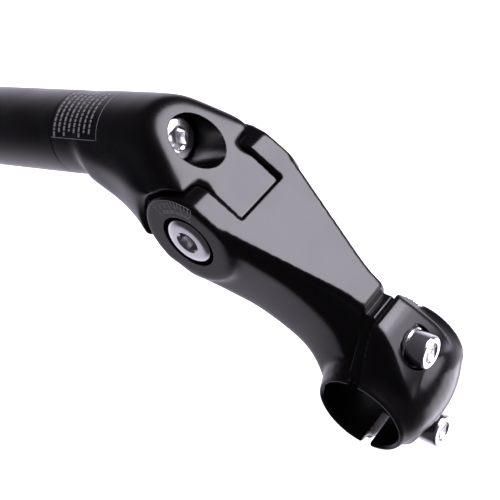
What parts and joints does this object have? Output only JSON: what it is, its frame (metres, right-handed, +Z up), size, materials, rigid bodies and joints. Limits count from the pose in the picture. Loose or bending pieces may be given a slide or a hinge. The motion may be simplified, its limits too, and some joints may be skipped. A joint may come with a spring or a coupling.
{
  "type": "adjustable handlebar stem",
  "caption": "Adjustable quill stem: a slanted-wedge quill, a forged head with a pivoting extension arm, and a bolted faceplate that clamps a handlebar.",
  "frame": {"origin": "On the quill axis, level with the minimum-insertion line on the quill.", "axes": "+Z up along the quill axis, +X forward along the extension, +Y to the rider's left along the handlebar."},
  "size_m": [0.1225, 0.0361, 0.264],
  "materials": {
    "black_paint": "deep gloss black paint over forged and polished alloy, with soft rounded edges",
    "chrome_bolt": "bright chrome-plated steel screws with clean bevelled heads",
    "plain_steel": "zinc-plated turned steel, faintly brushed",
    "raw_alloy": "bare machined alloy, satin"
  },
  "bodies": {
    "stem": {"quill_tube": "black_paint", "stem_head": "black_paint", "pivot_bush": "plain_steel", "friction_ring_right": "plain_steel", "friction_ring_left": "plain_steel", "expander_washer": "chrome_bolt"},
    "expander_screw": {"expander_bolt": "chrome_bolt"},
    "wedge": {"expander_wedge": "raw_alloy"},
    "arm": {"extension_arm": "black_paint", "pivot_nut": "plain_steel"},
    "pivot_spacer": {"pivot_washer": "plain_steel"},
    "pivot_screw": {"pivot_bolt": "chrome_bolt"},
    "faceplate": {"bar_faceplate": "black_paint", "upper_clamp_washer": "chrome_bolt", "lower_clamp_washer": "chrome_bolt"},
    "upper_screw": {"upper_clamp_bolt": "chrome_bolt"},
    "lower_screw": {"lower_clamp_bolt": "chrome_bolt"}
  },
  "joints": [
    {"name": "arm_pivot", "type": "hinge", "parent": "stem", "child": "arm", "pos_m": [0.0222, 0, 0.112], "axis": [0, -1, 0], "range_deg": [-29, 31]},
    {"name": "expander_turn", "type": "hinge", "parent": "stem", "child": "expander_screw", "pos_m": [0, 0, 0.1], "axis": [0, 0, 1], "range_deg": [0, 1800]},
    {"name": "wedge_travel", "type": "slide", "parent": "stem", "child": "wedge", "axis": [0, 0, -1], "range_m": [0, 0.00625]},
    {"name": "pivot_screw_travel", "type": "slide", "parent": "arm", "child": "pivot_spacer", "axis": [0, -1, 0], "range_m": [0, 0.003]},
    {"name": "pivot_screw_turn", "type": "hinge", "parent": "pivot_spacer", "child": "pivot_screw", "pos_m": [0.0222, 0, 0.112], "axis": [0, -1, 0], "range_deg": [0, 864]},
    {"name": "faceplate_travel", "type": "slide", "parent": "arm", "child": "faceplate", "axis": [0.2756, 0, 0.9613], "range_m": [0, 0.006]},
    {"name": "upper_screw_turn", "type": "hinge", "parent": "faceplate", "child": "upper_screw", "pos_m": [0.06877, 0, 0.16013], "axis": [0.2756, 0, 0.9613], "range_deg": [0, 2160]},
    {"name": "lower_screw_turn", "type": "hinge", "parent": "faceplate", "child": "lower_screw", "pos_m": [0.10337, 0, 0.1502], "axis": [0.2756, 0, 0.9613], "range_deg": [0, 2160]}
  ],
  "couplings": [
    {"joint": "wedge_travel", "follows": "expander_turn", "m_per_rad": 0.00019894},
    {"joint": "pivot_screw_turn", "follows": "pivot_screw_travel", "rad_per_m": 5026.5},
    {"joint": "upper_screw_turn", "follows": "faceplate_travel", "rad_per_m": 6283.2},
    {"joint": "lower_screw_turn", "follows": "faceplate_travel", "rad_per_m": 6283.2}
  ]
}
